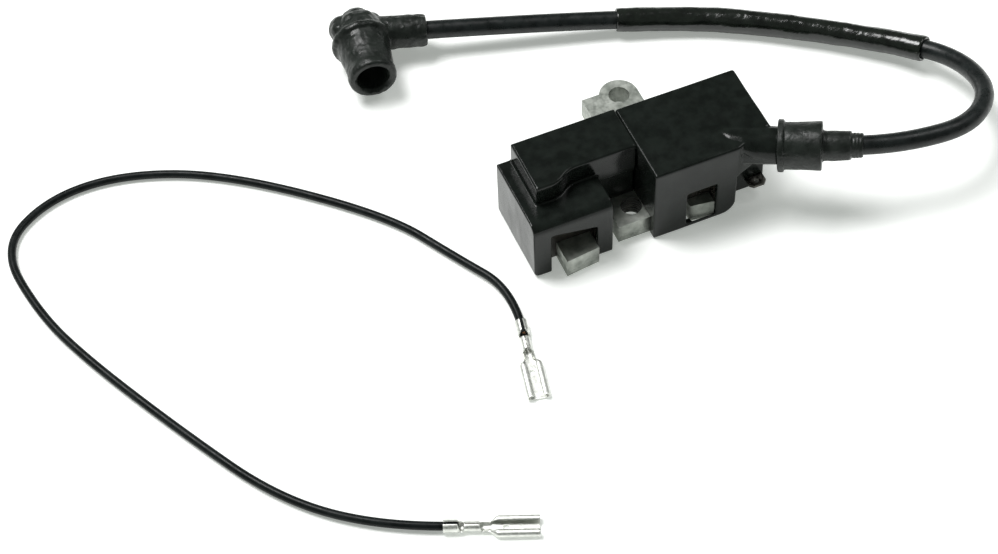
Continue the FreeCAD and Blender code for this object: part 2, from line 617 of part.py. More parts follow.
def build_blade():
    """Flat stop terminal: a tab with a pierced hole and chamfered tip."""
    width, thick, left, tip_y, low = 4.8, 0.8, 31.3, -5.8, 3.2
    tab = Part.makeBox(width, width, thick, Vector(left, tip_y, low))
    tip = [e for e in tab.Edges if abs(e.CenterOfMass.y - tip_y) < 0.01
           and abs(e.CenterOfMass.z - low - thick / 2) < 0.01]
    tab = tab.makeChamfer(0.9, tip).fuse(Part.makeBox(3.0, 6.0, thick, Vector(left + 0.1, -1.0, low)))
    return feature("StopTerminal", tab.cut(Part.makeCylinder(0.7, 3, Vector(33.7, -4.3, 2.5))))


def build_receptacle(lead_radius, wire_radius):
    """Push-on receptacle along +X from the lead's end, resting on z = 0."""
    axis = 1.5
    grip = Part.makeCylinder(1.5, 3.6, Vector(-3.6, 0, axis), Vector(1, 0, 0))
    grip = grip.cut(Part.makeCylinder(lead_radius, 5, Vector(-4, 0, axis), Vector(1, 0, 0)))
    crimp = Part.makeCylinder(1.25, 4.2, Vector(1.0, 0, axis - 0.2), Vector(1, 0, 0))
    crimp = crimp.cut(Part.makeCylinder(wire_radius, 3.4, Vector(0.4, 0, axis), Vector(1, 0, 0)))
    neck_low = Part.makeBox(16.6, 1.7, 0.4, Vector(-3.6, -0.85, 0.05))
    neck_fit = neck_low.cut(Part.makeCylinder(lead_radius, 5, Vector(-4, 0, axis), Vector(1, 0, 0)))
    length, half, thick, height = 11.0, 2.95, 0.4, 2.3
    plate = Part.makeBox(length, 2 * half, thick, Vector(8.4, -half, 0.05))
    plate = plate.fuse(Part.makeBox(1.6, 3.4, thick, Vector(7.2, -1.7, 0.05)))
    window = Part.makeCylinder(0.9, 2, Vector(11.8, 0, -0.5))
    rolls = []
    for side in (-1, 1):
        centre = Vector(8.4, side * (half - height / 2), height / 2 + 0.05)
        roll = Part.makeCylinder(height / 2, length, centre, Vector(1, 0, 0))
        hollow_roll = Part.makeCylinder(height / 2 - thick, length + 2, centre - Vector(1, 0, 0),
                                        Vector(1, 0, 0))
        rolls.append(roll.cut(hollow_roll))
    gap = Part.makeBox(length + 2, 0.7, 3, Vector(7.4, -0.35, 1.2))
    return grip.fuse([crimp, neck_fit, plate] + rolls).cut([window, gap]).removeSplitter()


def place_receptacle(name, end, toward):
    """Put a receptacle at a lead's end, so that the lead enters its grip."""
    shape = build_receptacle(size("stop_lead_radius"), size("stop_conductor_radius"))
    flat = Vector(toward.x, toward.y, 0)
    obj = feature(name, shape)
    obj.Placement = FreeCAD.Placement(Vector(end.x, end.y, 0), FreeCAD.Rotation(Vector(1, 0, 0), flat))
    return obj


# ---------------------------------------------------------------- assembly

def build():
    parts = {}
    core = parts["core_laminations"] = build_core()
    rivets = parts["core_rivets"] = build_rivets()
    names = ("transformer_core", "primary_bobbin", "primary_winding", "secondary_bobbin",
             "secondary_winding")
    parts.update(zip(names, build_transformer()))
    parts.update(zip(("charge_bobbin", "charge_winding"), build_charge_coil()))
    names = ("circuit_board", "discharge_capacitor", "thyristor", "rectifier_diodes", "trigger_resistors")
    parts.update(zip(names, build_electronics()))
    doc.recompute()
    spike_start = tower_point(-9.6)
    spike = Part.makeCylinder(0.9, 3.4, spike_start, tower_axis()).fuse(
        Part.makeCylinder(0.6, 9.6, spike_start, tower_axis()))
    parts["ht_terminal_spike"] = feature("HtTerminalSpike", spike.removeSplitter())
    jumper_end = Vector(26.5, size("rod_y") - 4.75, size("rod_z") + 6.2)
    parts["ht_jumper"] = feature("HtJumper", bent_wire([spike_start, jumper_end], 0.35).cut(spike))
    parts["ground_strap"] = feature("GroundStrap", bent_wire(
        [Vector(-1.2, 13.4, 5.9), Vector(-1.2, 13.4, size("board_bottom"))], 0.5))
    parts["primary_link"] = cylinder("PrimaryLink", 0.35, 0.0, "rod_from + 1", LINK_CENTRE, "X")
    lead, conductor, sleeve, stop, stop_conductor = build_leads()
    end_tube, end_wire = build_lead_end()
    parts["ht_lead_end"] = feature("HtLeadEnd", Part.makeCompound([end_tube, end_wire]))
    parts["ht_lead_insulation"] = feature("HtLeadInsulation", lead)
    parts["ht_lead_conductor"] = feature("HtLeadConductor", conductor)
    parts["lead_sleeve"] = feature("LeadSleeve", sleeve)
    solid_lead = lead.fuse(conductor)
    parts["lead_grommet"] = build_grommet(solid_lead, Part.makeCylinder(
        size("ht_lead_radius"), LEAD_START + 6, tower_point(-6), tower_axis()))
    parts["transformer_housing"] = build_transformer_housing()
    parts["control_housing"] = build_control_housing()
    parts["stop_terminal"] = build_blade()
    in_right = ("transformer_core", "primary_bobbin", "primary_winding", "secondary_bobbin",
                "secondary_winding", "ht_jumper", "ht_lead_end", "ht_terminal_spike", "stop_terminal",
                "primary_link")
    in_left = ("charge_bobbin", "charge_winding", "circuit_board", "discharge_capacitor", "thyristor",
               "rectifier_diodes", "trigger_resistors", "ground_strap", "primary_link")
    parts["transformer_potting"], parts["control_potting"] = build_potting(
        core, rivets, [parts[n] for n in in_right], [parts[n] for n in in_left])
    parts["plug_boot"] = build_boot()
    parts["plug_contact"] = build_contact()
    parts["plug_spring"] = build_spring()
    parts["stop_lead_insulation"] = feature("StopLeadInsulation", stop)
    parts["stop_lead_conductor"] = feature("StopLeadConductor", stop_conductor)
    parts["stop_receptacle_near"] = place_receptacle(
        "StopReceptacleNear", STOP_ROUTE[-1], STOP_ROUTE[-1] - STOP_ROUTE[-2])
    parts["stop_receptacle_far"] = place_receptacle(
        "StopReceptacleFar", STOP_ROUTE[0], STOP_ROUTE[0] - STOP_ROUTE[1])
    return parts


def export(parts):
    doc.recompute()
    for obj in doc.Objects:
        bad = {"Invalid", "Error"} & set(obj.State)
        if bad:
            raise RuntimeError(f"{obj.Name} is {obj.State}")
    os.makedirs("parts", exist_ok=True)
    for name, obj in parts.items():
        obj.Label = name
        shape = obj.Shape
        if shape.isNull() or not shape.isValid() or not shape.Solids:
            raise RuntimeError(f"{name} has no valid solid")
        shape.exportStep(f"parts/{name}.step")
        corners = shape.BoundBox
        print(f"{name:24s} {len(shape.Solids)} solids {shape.Volume:9.1f} mm3"
              f"  X {corners.XMin:7.1f} {corners.XMax:7.1f}  Y {corners.YMin:7.1f} {corners.YMax:7.1f}"
              f"  Z {corners.ZMin:6.1f} {corners.ZMax:6.1f}")


export(build())
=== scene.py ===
"""Looks of an ignition coil: moulded blocks on a laminated core, a high-tension lead with
its plug boot, and a loose stop lead. Lengths in the tables are millimetres."""
import json
import math

import bmesh
import bpy
from mathutils import Matrix, Vector, noise


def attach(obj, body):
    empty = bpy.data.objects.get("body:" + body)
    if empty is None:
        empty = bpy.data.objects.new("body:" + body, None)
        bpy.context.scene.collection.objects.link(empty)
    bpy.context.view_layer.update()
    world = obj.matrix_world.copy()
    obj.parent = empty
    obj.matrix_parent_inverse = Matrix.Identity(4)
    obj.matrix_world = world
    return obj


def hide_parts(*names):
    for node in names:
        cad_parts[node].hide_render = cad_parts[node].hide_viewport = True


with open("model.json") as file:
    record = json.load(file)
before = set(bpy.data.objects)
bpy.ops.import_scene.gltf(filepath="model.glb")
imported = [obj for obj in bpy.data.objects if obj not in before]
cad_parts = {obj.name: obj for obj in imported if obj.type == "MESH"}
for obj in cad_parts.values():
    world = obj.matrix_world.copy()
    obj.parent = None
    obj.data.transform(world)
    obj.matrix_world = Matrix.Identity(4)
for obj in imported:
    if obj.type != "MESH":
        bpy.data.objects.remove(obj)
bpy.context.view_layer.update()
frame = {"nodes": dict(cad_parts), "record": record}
MM = 0.001
scene = bpy.context.scene


def mm(*values):
    return Vector(values) * MM


# ---------------------------------------------------------------- camera

CAMERA_PLACE = (-174.5, -354.6, 495.1)
CAMERA_BACK = Vector((-0.219, -0.565, 0.7955)).normalized()
CAMERA_ROLL = math.radians(-2.42)
CAMERA_LENS = 88.6


def add_camera():
    data = bpy.data.cameras.new("camera")
    data.lens = CAMERA_LENS
    data.clip_start, data.clip_end = 0.01, 50
    camera = bpy.data.objects.new("camera", data)
    scene.collection.objects.link(camera)
    right = Vector((0, 0, 1)).cross(CAMERA_BACK).normalized()
    up = CAMERA_BACK.cross(right)
    turned_right = right * math.cos(CAMERA_ROLL) + up * math.sin(CAMERA_ROLL)
    turned_up = up * math.cos(CAMERA_ROLL) - right * math.sin(CAMERA_ROLL)
    camera.matrix_world = Matrix.Translation(mm(*CAMERA_PLACE)) @ Matrix(
        (turned_right, turned_up, CAMERA_BACK)).transposed().to_4x4()
    scene.camera = camera


add_camera()

# ---------------------------------------------------------------- materials


COAT_ROUGHNESS = 0.12


class Shader:
    """A principled material whose colour, roughness and relief come from procedural nodes."""

    def __init__(self, name, base, rough, metallic=0.0, coat=0.0, specular=0.5):
        self.material = bpy.data.materials.new(name)
        self.material.use_nodes = True
        self.tree = self.material.node_tree
        self.shader = self.tree.nodes["Principled BSDF"]
        self.shader.inputs["Base Color"].default_value = (*base, 1)
        self.shader.inputs["Roughness"].default_value = rough
        self.shader.inputs["Metallic"].default_value = metallic
        self.shader.inputs["Coat Weight"].default_value = coat
        self.shader.inputs["Coat Roughness"].default_value = COAT_ROUGHNESS
        self.shader.inputs["Specular IOR Level"].default_value = specular
        self.coords = self.tree.nodes.new("ShaderNodeTexCoord").outputs["Object"]

    def node(self, kind, **values):
        node = self.tree.nodes.new(kind)
        for key, value in values.items():
            if key in node.inputs:
                node.inputs[key].default_value = value
            else:
                setattr(node, key, value)
        return node

    def link(self, source, target):
        self.tree.links.new(source, target)
        return self

    def stretched(self, stretch):
        """Object coordinates scaled per axis, so that a texture is drawn out along one."""
        mapping = self.node("ShaderNodeMapping", Scale=stretch)
        self.link(self.coords, mapping.inputs["Vector"])
        return mapping.outputs["Vector"]

    def grain(self, per_mm, detail=3.0, stretch=(1, 1, 1), distortion=0.0):
        texture = self.node("ShaderNodeTexNoise", Scale=per_mm / MM, Detail=detail, Distortion=distortion)
        self.link(self.stretched(stretch), texture.inputs["Vector"])
        return texture.outputs["Fac"]

    def wave(self, per_mm, direction, distortion):
        texture = self.node("ShaderNodeTexWave", Scale=per_mm / MM / math.pi, Distortion=distortion)
        texture.wave_type = "BANDS"
        texture.bands_direction = direction
        self.link(self.coords, texture.inputs["Vector"])
        return texture.outputs["Fac"]

    def cells(self, per_mm):
        texture = self.node("ShaderNodeTexVoronoi", Scale=per_mm / MM)
        self.link(self.coords, texture.inputs["Vector"])
        return texture.outputs["Distance"]

    def ranged(self, source, low, high, start=0.3, end=0.7):
        node = self.node("ShaderNodeMapRange")
        for key, value in (("From Min", start), ("From Max", end), ("To Min", low), ("To Max", high)):
            node.inputs[key].default_value = value
        self.link(source, node.inputs["Value"])
        return node.outputs["Result"]

    def colours(self, source, dark, light, start=0.35, end=0.65):
        ramp = self.node("ShaderNodeValToRGB")
        ramp.color_ramp.elements[0].position, ramp.color_ramp.elements[1].position = start, end
        ramp.color_ramp.elements[0].color, ramp.color_ramp.elements[1].color = (*dark, 1), (*light, 1)
        self.link(source, ramp.inputs["Fac"])
        return self.link(ramp.outputs["Color"], self.shader.inputs["Base Color"])

    def roughness(self, source, low, high, start=0.3, end=0.7):
        return self.link(self.ranged(source, low, high, start, end), self.shader.inputs["Roughness"])

    def relief(self, *layers):
        """Bump layers, each a texture and its height in millimetres."""
        normal = None
        for source, height in layers:
            bump = self.node("ShaderNodeBump", Strength=1.0, Distance=height * MM)
            self.link(source, bump.inputs["Height"])
            if normal:
                self.link(normal, bump.inputs["Normal"])
            normal = bump.outputs["Normal"]
        return self.link(normal, self.shader.inputs["Normal"])


def black_moulding():
    s = Shader("black_moulding", (0.007, 0.009, 0.008), 0.2, specular=0.24)
    flow = s.grain(0.09, 4, (1, 2.2, 1), 0.8)
    s.colours(s.grain(0.35, 5), (0.005, 0.0065, 0.0055), (0.010, 0.013, 0.011))
    s.roughness(flow, 0.13, 0.27)
    return s.relief((flow, 0.05), (s.grain(2.2, 4), 0.006), (s.grain(12, 2), 0.002)).material


def black_rubber():
    s = Shader("black_rubber", (0.01, 0.013, 0.011), 0.45, specular=0.32)
    blotch = s.grain(0.3, 5)
    s.colours(blotch, (0.007, 0.009, 0.0075), (0.017, 0.021, 0.018))
    s.roughness(s.grain(0.5, 4), 0.24, 0.5)
    return s.relief((blotch, 0.3), (s.grain(4, 4), 0.02), (s.cells(6), 0.006)).material


def lead_jacket(name, specular):
    s = Shader(name, (0.006, 0.008, 0.008), 0.36, specular=specular)
    s.colours(s.grain(0.25, 4), (0.004, 0.0055, 0.0055), (0.011, 0.014, 0.014))
    s.roughness(s.grain(0.6, 4), 0.24, 0.46)
    return s.relief((s.grain(0.5, 3), 0.05), (s.grain(5, 3), 0.008)).material


def sleeve_plastic():
    s = Shader("sleeve_plastic", (0.005, 0.0065, 0.005), 0.16, coat=0.2)
    s.colours(s.grain(0.3, 3), (0.0035, 0.0045, 0.0035), (0.009, 0.012, 0.009))
    s.roughness(s.grain(0.4, 4), 0.1, 0.26)
    return s.relief((s.grain(0.35, 4, (1, 1.6, 1), 1.0), 0.12), (s.grain(3, 3), 0.008)).material


def lamination_steel():
    s = Shader("lamination_steel", (0.42, 0.44, 0.41), 0.45, metallic=0.65)
    s.colours(s.grain(0.3, 6), (0.27, 0.29, 0.26), (0.52, 0.54, 0.50))
    s.roughness(s.grain(1.1, 5), 0.3, 0.55)
    return s.relief((s.grain(0.5, 3, (1, 6, 1)), 0.02), (s.grain(9, 3), 0.008)).material


def bright_metal(name, dark, light, low, high):
    s = Shader(name, light, (low + high) / 2, metallic=1.0)
    s.colours(s.grain(0.8, 5), dark, light)
    s.roughness(s.grain(1.6, 4), low, high)
    return s.relief((s.grain(1.2, 4), 0.05), (s.grain(8, 3, (1, 5, 1)), 0.006)).material


def wound_wire(direction):
    """Enamelled wire laid turn by turn across one axis."""
    s = Shader("wound_wire_" + direction, (0.42, 0.12, 0.03), 0.28, metallic=0.7, coat=0.4)
    turns = s.wave(1.6, direction, 0.4)
    s.colours(turns, (0.16, 0.035, 0.01), (0.55, 0.18, 0.05), 0.1, 0.9)
    s.roughness(s.grain(1.5, 3), 0.2, 0.4)
    return s.relief((turns, 0.1)).material


def epoxy():
    s = Shader("epoxy", (0.02, 0.018, 0.015), 0.3)
    pool = s.grain(0.12, 3)
    s.colours(s.grain(0.4, 5), (0.014, 0.012, 0.01), (0.04, 0.036, 0.03))
    s.roughness(pool, 0.12, 0.4)
    return s.relief((pool, 0.25), (s.cells(0.9), 0.03)).material


def moulded(name, dark, light, low, high):
    s = Shader(name, light, (low + high) / 2)
    s.colours(s.grain(0.5, 5), dark, light)
    s.roughness(s.grain(0.8, 4), low, high)
    return s.relief((s.grain(3, 4), 0.02)).material


def board():
    s = Shader("board", (0.12, 0.2, 0.06), 0.4)
    weave = s.wave(1.4, "X", 0.2)
    s.colours(weave, (0.07, 0.12, 0.035), (0.16, 0.26, 0.08), 0.1, 0.9)
    s.roughness(s.grain(0.8, 3), 0.3, 0.5)
    return s.relief((weave, 0.02), (s.wave(1.4, "Y", 0.2), 0.02)).material


FLOOR_GLOW = 0.3


def pale_floor():
    """Bright paper: a little glow keeps its shadows faint."""
    s = Shader("pale_floor", (0.93, 0.935, 0.93), 0.6, specular=0.2)
    s.colours(s.grain(0.01, 3), (0.925, 0.93, 0.925), (0.94, 0.945, 0.94))
    s.shader.inputs["Emission Color"].default_value = (0.96, 1.0, 0.95, 1)
    s.shader.inputs["Emission Strength"].default_value = FLOOR_GLOW
    return s.relief((s.grain(0.8, 3), 0.004)).material


MATERIALS = {
    "lamination_steel": lamination_steel(),
    "plated_steel": bright_metal("plated_steel", (0.42, 0.40, 0.34), (0.72, 0.70, 0.64), 0.22, 0.42),
    "black_moulding": black_moulding(),
    "epoxy": epoxy(),
    "bobbin_nylon": moulded("bobbin_nylon", (0.5, 0.46, 0.36), (0.66, 0.62, 0.5), 0.35, 0.55),
    "enamelled_copper": wound_wire("X"),
    "ferrite": moulded("ferrite", (0.02, 0.02, 0.022), (0.07, 0.07, 0.075), 0.45, 0.7),
    "board": board(),
    "capacitor_case": moulded("capacitor_case", (0.24, 0.03, 0.015), (0.36, 0.06, 0.03), 0.2, 0.4),
    "component_case": moulded("component_case", (0.015, 0.015, 0.016), (0.05, 0.05, 0.052), 0.3, 0.55),
    "copper": bright_metal("copper", (0.5, 0.2, 0.09), (0.85, 0.42, 0.22), 0.18, 0.36),
    "black_rubber": black_rubber(),
    "lead_insulation": lead_jacket("lead_jacket", 0.34),
    "sleeve_plastic": sleeve_plastic(),
    "tin_plate": bright_metal("tin_plate", (0.72, 0.73, 0.69), (0.88, 0.89, 0.85), 0.36, 0.56),
}
CHARGE_WIRE = wound_wire("Y")
THIN_JACKET = lead_jacket("thin_lead_jacket", 0.14)
# painted shade: a near-black metal for the walls of the front bolt hole, where the steel lies in shade
SHADE_PAINTED_BORE = bright_metal("painted_shade_bore", (0.01, 0.01, 0.009), (0.05, 0.05, 0.045), 0.4, 0.6)
# near-black steel for the stop terminal, far darker than the plated steel
DARKENED_TAB_STEEL = bright_metal("darkened_tab_steel", (0.035, 0.034, 0.03), (0.16, 0.155, 0.14), 0.3, 0.5)
SLOT_OF = {row["node"]: row["material_slot"] for row in frame["record"]["subparts"]}

for node, obj in frame["nodes"].items():
    chosen = CHARGE_WIRE if node == "charge_winding" else MATERIALS[SLOT_OF[node]]
    obj.data.materials.clear()
    obj.data.materials.append(chosen)

# ---------------------------------------------------------------- helpers for pieces


def finish_piece(obj, body, slot, *nodes, finish=None):
    """Give a new piece its finish, its body, and the CAD nodes that it stands for."""
    obj.data.materials.clear()
    obj.data.materials.append(finish or MATERIALS[slot])
    if nodes:
        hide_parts(*nodes)
    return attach(obj, body)


def mesh_object(name, vertices, faces):
    mesh = bpy.data.meshes.new(name)
    mesh.from_pydata([tuple(v) for v in vertices], [], faces)
    mesh.validate()
    obj = bpy.data.objects.new(name, mesh)
    scene.collection.objects.link(obj)
    return obj


def applied(obj):
    """The object with its modifiers worked into its mesh."""
    graph = bpy.context.evaluated_depsgraph_get()
    mesh = bpy.data.meshes.new_from_object(obj.evaluated_get(graph))
    obj.modifiers.clear()
    obj.data = mesh
    return obj


def smooth(obj):
    obj.data.polygons.foreach_set("use_smooth", [True] * len(obj.data.polygons))
    return obj


def outward(obj):
    work = bmesh.new()
    work.from_mesh(obj.data)
    bmesh.ops.recalc_face_normals(work, faces=work.faces)
    work.to_mesh(obj.data)
    work.free()
    return obj


def softened(obj, voxel, rounds):
    """Remesh evenly and relax, so that mould edges get their small radius."""
    remesh = obj.modifiers.new("remesh", "REMESH")
    remesh.mode = "VOXEL"
    remesh.voxel_size = voxel * MM
    relax = obj.modifiers.new("relax", "SMOOTH")
    relax.factor, relax.iterations = 0.5, rounds
    return smooth(applied(obj))


def joined(name, *objects):
    """One object made of the meshes of several."""
    work = bmesh.new()
    for obj in objects:
        work.from_mesh(obj.data)
        bpy.data.objects.remove(obj)
    mesh = bpy.data.meshes.new(name)
    work.to_mesh(mesh)
    work.free()
    obj = bpy.data.objects.new(name, mesh)
    scene.collection.objects.link(obj)
    return obj


def copy_of(node, name):
    """A new mesh with the shape of a CAD node, welded."""
    work = bmesh.new()
    work.from_mesh(frame["nodes"][node].data)
    bmesh.ops.remove_doubles(work, verts=work.verts, dist=0.002 * MM)
    mesh = bpy.data.meshes.new(name)
    work.to_mesh(mesh)
    work.free()
    obj = bpy.data.objects.new(name, mesh)
    scene.collection.objects.link(obj)
    return obj


def across(axis):
    """Two unit vectors square to axis."""
    axis = axis.normalized()
    side = axis.cross(Vector((0, 0, 1)))
    side = side.normalized() if side.length > 0.1 else Vector((1, 0, 0))
    return side, side.cross(axis).normalized()


def lathed(name, profile, start, axis, count=96):
    """A closed turned form: profile is distance along axis and radius, in millimetres."""
    axis = axis.normalized()
    side, top = across(axis)
    vertices, faces = [], []
    for distance, radius in profile:
        for i in range(count):
            a = math.tau * i / count
            spoke = side * math.cos(a) + top * math.sin(a)
            vertices.append(start + (axis * distance + spoke * radius) * MM)
    rows = len(profile)
    for row in range(rows):
        after = (row + 1) % rows
        for i in range(count):
            j = (i + 1) % count
            faces.append((row * count + i, row * count + j, after * count + j, after * count + i))
    return outward(mesh_object(name, vertices, faces))


def moved_out(obj, amount):
    """Move each vertex along its normal by amount(place), in millimetres."""
    normals = [v.normal.copy() for v in obj.data.vertices]
    for v, normal in zip(obj.data.vertices, normals):
        v.co += normal * (amount(v.co / MM) * MM)
    obj.data.update()
    return obj


# ---------------------------------------------------------------- leads

TOWER = Vector((32.7, -5.2, 19.5))
TOWER_HEADING, TOWER_RISE = math.radians(-30), math.radians(5)
TOWER_AXIS = Vector((math.cos(TOWER_HEADING) * math.cos(TOWER_RISE),
                     math.sin(TOWER_HEADING) * math.cos(TOWER_RISE), math.sin(TOWER_RISE)))
HT_ROUTE = [
    TOWER + TOWER_AXIS * 6, TOWER + TOWER_AXIS * 22, (67.8, -20.3, 20.0), (86.0, -20.3, 18.0),
    (98.4, -8.9, 14.0), (99.2, 8.8, 8.5), (88.5, 23.7, 4.6), (58.5, 46.4, 3.6), (36.0, 58.2, 3.6),
    (-11.0, 72.9, 6.8), (-38.7, 81.3, 7.9),
]
STOP_ROUTE = [
    (-39.9, -22.6, 1.5), (-37.0, -9.2, 1.5), (-46.0, 6.5, 1.1), (-57.0, 26.5, 1.1), (-90.0, 56.5, 1.1),
    (-115.0, 68.0, 1.1), (-136.0, 68.0, 1.1), (-151.5, 57.0, 1.1), (-148.5, 33.0, 1.1),
    (-141.5, 14.0, 1.1), (-127.2, -15.4, 1.1), (-112.0, -43.5, 1.1), (-92.0, -61.0, 1.5),
    (-76.2, -67.6, 1.5),
]
HT_RADIUS, HT_WIRE, STOP_RADIUS, STOP_WIRE = 2.5, 0.6, 1.1, 0.5


def route_curve(name, points, radius):
    data = bpy.data.curves.new(name, "CURVE")
    data.dimensions = "3D"
    spline = data.splines.new("NURBS")
    spline.points.add(len(points) - 1)
    for control, place in zip(spline.points, points):
        control.co = (*(Vector(place) * MM), 1)
    spline.order_u = 3
    spline.use_endpoint_u = True
    spline.resolution_u = 24
    data.bevel_depth = radius * MM
    data.bevel_resolution = 7
    data.use_fill_caps = True
    obj = bpy.data.objects.new(name, data)
    scene.collection.objects.link(obj)
    return obj


def line_of(points):
    """Points along the smooth line of a route, in metres, read from its spline."""
    bare = route_curve("bare_line", points, 0)
    graph = bpy.context.evaluated_depsgraph_get()
    mesh = bpy.data.meshes.new_from_object(bare.evaluated_get(graph))
    line = [v.co.copy() for v in mesh.vertices]
    bpy.data.objects.remove(bare)
    return line


def even(line, step):
    """The same line in even steps, in metres."""
    out, left = [line[0].copy()], step
    for a, b in zip(line, line[1:]):
        run = (b - a).length
        while run >= left:
            a = a + (b - a) * (left / run)
            run -= left
            out.append(a.copy())
            left = step
        left -= run
    out.append(line[-1].copy())
    return out


def between(line, start, end):
    """The stretch of a line from the point nearest start to the point nearest end."""
    first = min(range(len(line)), key=lambda i: (line[i] - start).length)
    last = min(range(len(line)), key=lambda i: (line[i] - end).length)
    return line[first:last + 1]


def frames(line):
    """For each point its direction and two square vectors that don't twist."""
    found, side = [], None
    for i, place in enumerate(line):
        along = (line[min(i + 1, len(line) - 1)] - line[max(i - 1, 0)]).normalized()
        if side is None:
            side = across(along)[0]
        side = (side - along * side.dot(along)).normalized()
        found.append((place, along, side, side.cross(along)))
    return found


def sleeve_mesh(name, line, outer, inner, count=72):
    """A hollow tube along a line; outer and inner give radii for a point index and an angle."""
    vertices, faces = [], []
    rows = frames(line)
    loops = [(row, outer) for row in range(len(rows))]
    loops += [(row, inner) for row in reversed(range(len(rows)))]
    for row, radius in loops:
        place, _, side, top = rows[row]
        for i in range(count):
            a = math.tau * i / count
            vertices.append(place + (side * math.cos(a) + top * math.sin(a)) * radius(row, a) * MM)
    for row in range(len(loops)):
        after = (row + 1) % len(loops)
        for i in range(count):
            j = (i + 1) % count
            faces.append((row * count + i, row * count + j, after * count + j, after * count + i))
    return smooth(outward(mesh_object(name, vertices, faces)))


def add_leads():
    lead = route_curve("ht_lead_jacket", HT_ROUTE, HT_RADIUS)
    finish_piece(lead, "coil", "lead_insulation", "ht_lead_insulation")
    wire = route_curve("ht_lead_wire", HT_ROUTE, HT_WIRE)
    finish_piece(wire, "coil", "copper", "ht_lead_conductor")
    stop = route_curve("stop_lead_jacket", STOP_ROUTE, STOP_RADIUS)
    finish_piece(stop, "stop_lead", "lead_insulation", "stop_lead_insulation", finish=THIN_JACKET)
    stop_wire = route_curve("stop_lead_wire", STOP_ROUTE, STOP_WIRE)
    finish_piece(stop_wire, "stop_lead", "copper", "stop_lead_conductor")
    return lead, wire, stop, stop_wire


HT_LINE = line_of(HT_ROUTE)
SLEEVE_START = (Vector(HT_ROUTE[5]) + Vector(HT_ROUTE[6])) / 2 * MM
SLEEVE_END = (Vector(HT_ROUTE[8]) * 0.75 + Vector(HT_ROUTE[9]) * 0.25) * MM


def add_sleeve():
    """Loose tubing over the lead, creased, wider and a little crushed at its right end."""
    step, wall, lip_depth, lip_width, mouth_reach = 0.4, 0.55, 0.25, 0.35, 5.0
    line = between(even(HT_LINE, step * MM), SLEEVE_START, SLEEVE_END)
    long = len(line) * step

    def outer(row, a):
        s = row * step
        mouth = math.exp(-s / mouth_reach)
        wide = 3.3 + 0.22 * mouth
        oval = 0.13 * math.cos(2 * a + 0.08 * s) * (0.5 + mouth)
        fold = 0.16 * noise.noise(Vector((s * 0.16, math.cos(a) * 1.1, math.sin(a) * 1.1)))
        crease = 0.06 * noise.noise(Vector((s * 0.9, math.cos(a) * 0.9 + 5, math.sin(a) * 0.9)))
        to_end = min(s, long - s)
        lip = lip_depth * math.exp(-((to_end / lip_width) ** 2))
        return wide + oval + fold + crease - lip

    def inner(row, a):
        return outer(row, a) - wall

    sleeve = sleeve_mesh("sleeve_tubing", line, outer, inner)
    return finish_piece(sleeve, "coil", "sleeve_plastic", "lead_sleeve")


ht_lead, ht_wire, stop_lead, stop_wire = add_leads()
sleeve = add_sleeve()

# ---------------------------------------------------------------- laminated core

SHEETS, CORE_TOP = 12, 5.9
SHEET_GAP, SHEET_BURR = 0.006, 0.04
RELIEF_TOP, RELIEF_FRONT, RELIEF_BACK = 2.4, -1.6, 7.6
BOLT_RADIUS = 2.75


def arc(centre, radius, start, end, count):
    return [(centre[0] + radius * math.cos(start + (end - start) * i / count),
             centre[1] + radius * math.sin(start + (end - start) * i / count)) for i in range(count + 1)]


def plate(name, outlines, low, high, round_edge):
    """A flat plate from closed outlines; outlines inside others are holes."""
    data = bpy.data.curves.new(name, "CURVE")
    data.dimensions = "2D"
    data.fill_mode = "BOTH"
    for outline in outlines:
        spline = data.splines.new("POLY")
        spline.points.add(len(outline) - 1)
        for control, (x, y) in zip(spline.points, outline):
            control.co = (x * MM, y * MM, 0, 1)
        spline.use_cyclic_u = True
    data.extrude = ((high - low) / 2 - round_edge) * MM
    data.bevel_depth = round_edge * MM
    data.bevel_resolution = 1
    data.offset = -round_edge * MM
    curve = bpy.data.objects.new(name, data)
    scene.collection.objects.link(curve)
    graph = bpy.context.evaluated_depsgraph_get()
    mesh = bpy.data.meshes.new_from_object(curve.evaluated_get(graph))
    bpy.data.objects.remove(curve)
    mesh.transform(Matrix.Translation(mm(0, 0, (low + high) / 2)))
    obj = bpy.data.objects.new(name, mesh)
    scene.collection.objects.link(obj)
    return obj


def core_outlines(with_left_leg):
    """One sheet in plan: left, middle and right leg, and the yoke with the rear ear."""
    boss, hole = 5.3, (13.0, 35.6)
    shoulder = 37.9
    rise = math.asin((shoulder - hole[1]) / boss)
    left_leg = [(-22.3, -9.9), (-17.65, -9.35), (-13.0, -8.9), (-13.0, 10.2)]
    if not with_left_leg:
        left_leg = [(-22.3, RELIEF_BACK), (-13.0, RELIEF_BACK), (-13.0, 10.2)]
    body = left_leg + [(-5.9, 10.2), (-5.9, -5.2), (5.9, -5.2), (5.9, 10.2), (13.6, 10.2), (13.6, -6.4),
                       (16.8, -6.85), (20.0, -7.4), (20.0, 15.0), (18.3, 15.0)]
    body += arc(hole, boss, 0, math.pi - rise, 40) + [(3.2, shoulder), (3.2, 15.0), (-22.3, 15.0)]
    outlines = [body, arc((0, 0), BOLT_RADIUS, 0, math.tau * 47 / 48, 47),
                arc(hole, BOLT_RADIUS, 0, math.tau * 47 / 48, 47)]
    if not with_left_leg:
        outlines.append([(-22.3, -9.9), (-17.65, -9.35), (-13.0, -8.9), (-13.0, RELIEF_FRONT),
                         (-22.3, RELIEF_FRONT)])
    return outlines


